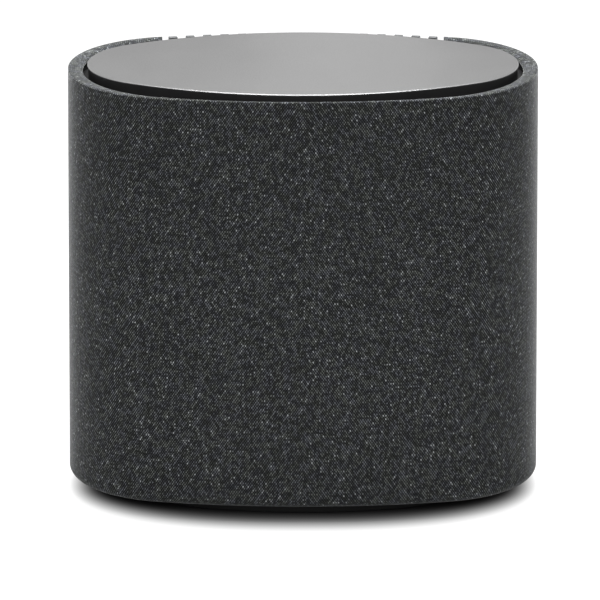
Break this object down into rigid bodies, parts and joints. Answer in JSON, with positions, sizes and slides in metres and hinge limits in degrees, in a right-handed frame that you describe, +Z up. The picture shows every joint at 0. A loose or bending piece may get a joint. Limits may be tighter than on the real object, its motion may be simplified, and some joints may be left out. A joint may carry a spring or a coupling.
{
  "type": "smart home hub",
  "caption": "Oval fabric-wrapped smart home hub with a raised aluminium touch plate, a recessed foot, a ribbed rear panel and a connector bay.",
  "frame": {"origin": "middle of the foot's underside, on the table", "axes": "+Z up, +X to the right seen from the front, the front looks along -Y and the connectors along +Y"},
  "size_m": [0.282, 0.154, 0.2645],
  "materials": {
    "aluminium_plate": "bead-blasted, anodised grey",
    "black_plastic": "fine-textured black",
    "rib_plastic": "fine-textured graphite grey",
    "twill_fabric": "heathered dark grey twill",
    "rubber": "matte black",
    "cabinet_plastic": "moulded black",
    "baffle_board": "medium-density fibreboard",
    "wadding": "loose white wadding",
    "basket_metal": "powder-coated",
    "steel": "zinc-plated",
    "ferrite": "sintered ferrite",
    "copper_coil": "enamelled copper winding",
    "cone_paper": "coated paper",
    "surround_rubber": "moulded butyl rubber",
    "spider_cloth": "resin-dipped cotton",
    "dome_metal": "thin anodised dome",
    "circuit_board": "solder mask",
    "shield_metal": "tinned",
    "contact_metal": "nickel-plated shell",
    "socket_plastic": "moulded black",
    "button_plastic": "satin grey"
  },
  "bodies": {
    "housing": {"top_plate": "aluminium_plate", "plate_skirt": "black_plastic", "touch_board": "circuit_board", "top_cap": "black_plastic", "fabric_cover": "twill_fabric", "grille_frame": "cabinet_plastic", "rear_panel": "rib_plastic", "base_plate": "black_plastic", "foot": "black_plastic", "foot_pad": "rubber", "cabinet": "cabinet_plastic", "front_baffle": "baffle_board", "damping_pad": "wadding", "woofer_basket": "basket_metal", "woofer_gasket": "rubber", "woofer_front_plate": "steel", "woofer_magnet": "ferrite", "woofer_yoke": "steel", "woofer_spider": "spider_cloth", "woofer_surround": "surround_rubber", "left_tweeter_frame": "black_plastic", "left_tweeter_surround": "surround_rubber", "left_tweeter_motor": "steel", "left_radiator_frame": "black_plastic", "left_radiator_surround": "surround_rubber", "right_tweeter_frame": "black_plastic", "right_tweeter_surround": "surround_rubber", "right_tweeter_motor": "steel", "right_radiator_frame": "black_plastic", "right_radiator_surround": "surround_rubber", "main_board": "circuit_board", "wireless_module": "shield_metal", "antennas": "copper_coil", "amplifier_heat_sink": "dome_metal", "power_board": "circuit_board", "connector_plate": "black_plastic", "io_board": "circuit_board", "mains_inlet": "socket_plastic", "network_jack": "contact_metal", "usb_socket": "contact_metal", "audio_jack": "socket_plastic", "driver_screws": "steel", "radiator_screws": "steel", "base_screws": "steel", "panel_screws": "steel", "board_screws": "steel"},
    "woofer_moving": {"woofer_coil": "copper_coil", "woofer_cone": "cone_paper", "woofer_dust_cap": "cone_paper"},
    "left_tweeter_moving": {"left_tweeter_dome": "dome_metal"},
    "right_tweeter_moving": {"right_tweeter_dome": "dome_metal"},
    "left_radiator_moving": {"left_radiator_plate": "basket_metal"},
    "right_radiator_moving": {"right_radiator_plate": "basket_metal"},
    "power_button_cap": {"power_button": "button_plastic"},
    "pairing_button_cap": {"pairing_button": "button_plastic"}
  },
  "joints": [
    {"name": "woofer_stroke", "type": "slide", "parent": "housing", "child": "woofer_moving", "axis": [0, -1, 0], "range_m": [-0.004, 0.004], "stiffness_N_per_m": 1400, "deforming": ["woofer_surround", "woofer_spider"]},
    {"name": "left_tweeter_stroke", "type": "slide", "parent": "housing", "child": "left_tweeter_moving", "axis": [0, -1, 0], "range_m": [-0.0005, 0.0005], "stiffness_N_per_m": 2500, "deforming": ["left_tweeter_surround"]},
    {"name": "right_tweeter_stroke", "type": "slide", "parent": "housing", "child": "right_tweeter_moving", "axis": [0, -1, 0], "range_m": [-0.0005, 0.0005], "stiffness_N_per_m": 2500, "deforming": ["right_tweeter_surround"]},
    {"name": "left_radiator_stroke", "type": "slide", "parent": "housing", "child": "left_radiator_moving", "axis": [-1, 0, 0], "range_m": [-0.005, 0.005], "stiffness_N_per_m": 1200, "deforming": ["left_radiator_surround"]},
    {"name": "right_radiator_stroke", "type": "slide", "parent": "housing", "child": "right_radiator_moving", "axis": [1, 0, 0], "range_m": [-0.005, 0.005], "stiffness_N_per_m": 1200, "deforming": ["right_radiator_surround"]},
    {"name": "power_button_press", "type": "slide", "parent": "housing", "child": "power_button_cap", "axis": [0, -1, 0], "range_m": [0, 0.0008], "stiffness_N_per_m": 1500},
    {"name": "pairing_button_press", "type": "slide", "parent": "housing", "child": "pairing_button_cap", "axis": [0, -1, 0], "range_m": [0, 0.0008], "stiffness_N_per_m": 1500}
  ]
}
